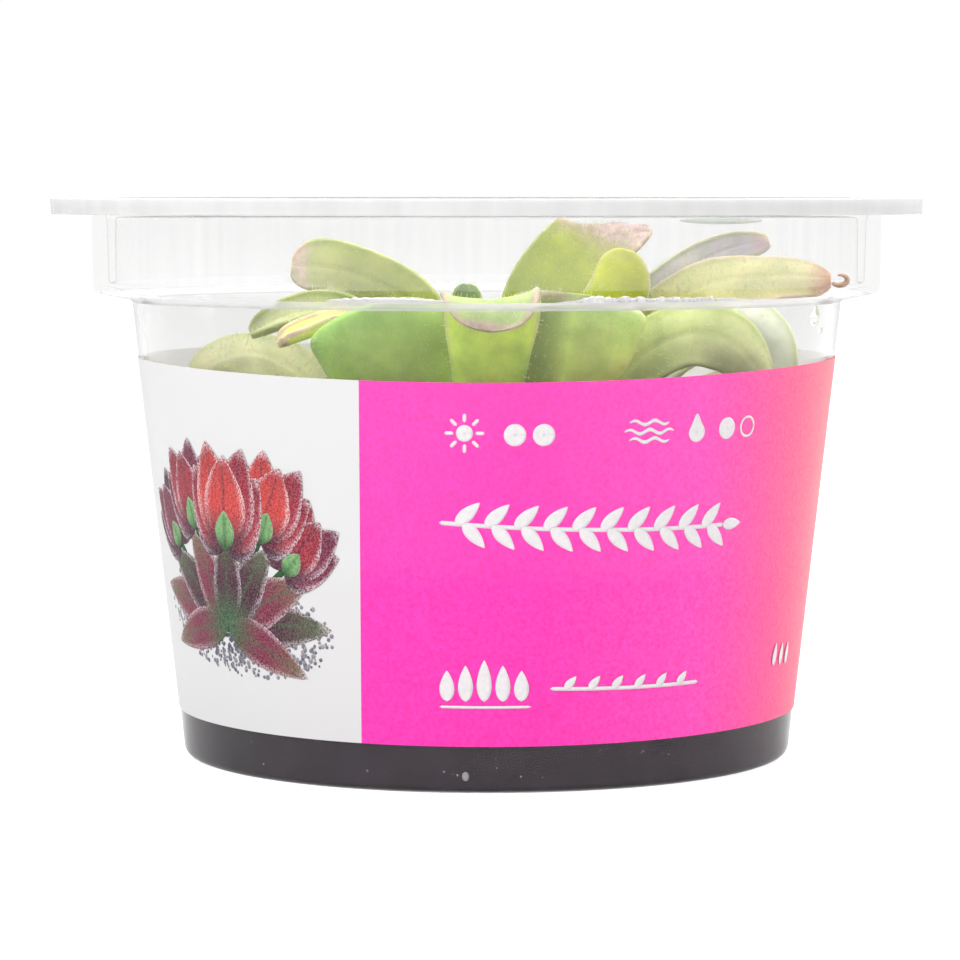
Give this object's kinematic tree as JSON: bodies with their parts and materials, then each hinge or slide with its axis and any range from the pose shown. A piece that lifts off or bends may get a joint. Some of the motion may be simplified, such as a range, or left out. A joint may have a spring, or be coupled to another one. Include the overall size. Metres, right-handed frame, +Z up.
{
  "type": "butterwort in a culture cup",
  "caption": "Fleshy green rosette plant on dark culture gel, closed in a clear tapered cup with a flat snap lid and a wrap-round printed label.",
  "frame": {"origin": "centre of the cup's flat base, on the surface that the cup stands on", "axes": "+Z up through the lid along the cup's axis; -Y towards the front of the label; +X to the right as seen from the front"},
  "size_m": [0.1, 0.1, 0.064],
  "materials": {
    "cup_plastic": "clear, smooth",
    "lid_plastic": "translucent, fine satin",
    "label_film": "satin printed film, white panel at the left",
    "gel": "wet, smooth",
    "leaf": "fleshy, satin",
    "crown": "fleshy, satin"
  },
  "bodies": {
    "root": {"cup": "cup_plastic", "lid": "lid_plastic", "label": "label_film", "gel": "gel", "crown": "crown", "leaf_arm_left": "leaf", "leaf_lobe_left": "leaf", "leaf_rolled_left": "leaf", "leaf_dome_left": "leaf", "leaf_front_left": "leaf", "leaf_front_centre": "leaf", "leaf_front_right": "leaf", "leaf_tall": "leaf", "leaf_folded": "leaf", "leaf_back_right": "leaf", "leaf_broad_right": "leaf", "leaf_arch_right": "leaf", "leaf_pale_right": "leaf", "leaf_under_arch": "leaf", "leaf_heart": "leaf", "leaf_low_left": "leaf", "leaf_low_back_left": "leaf", "leaf_low_back": "leaf", "leaf_low_back_right": "leaf"}
  },
  "joints": []
}
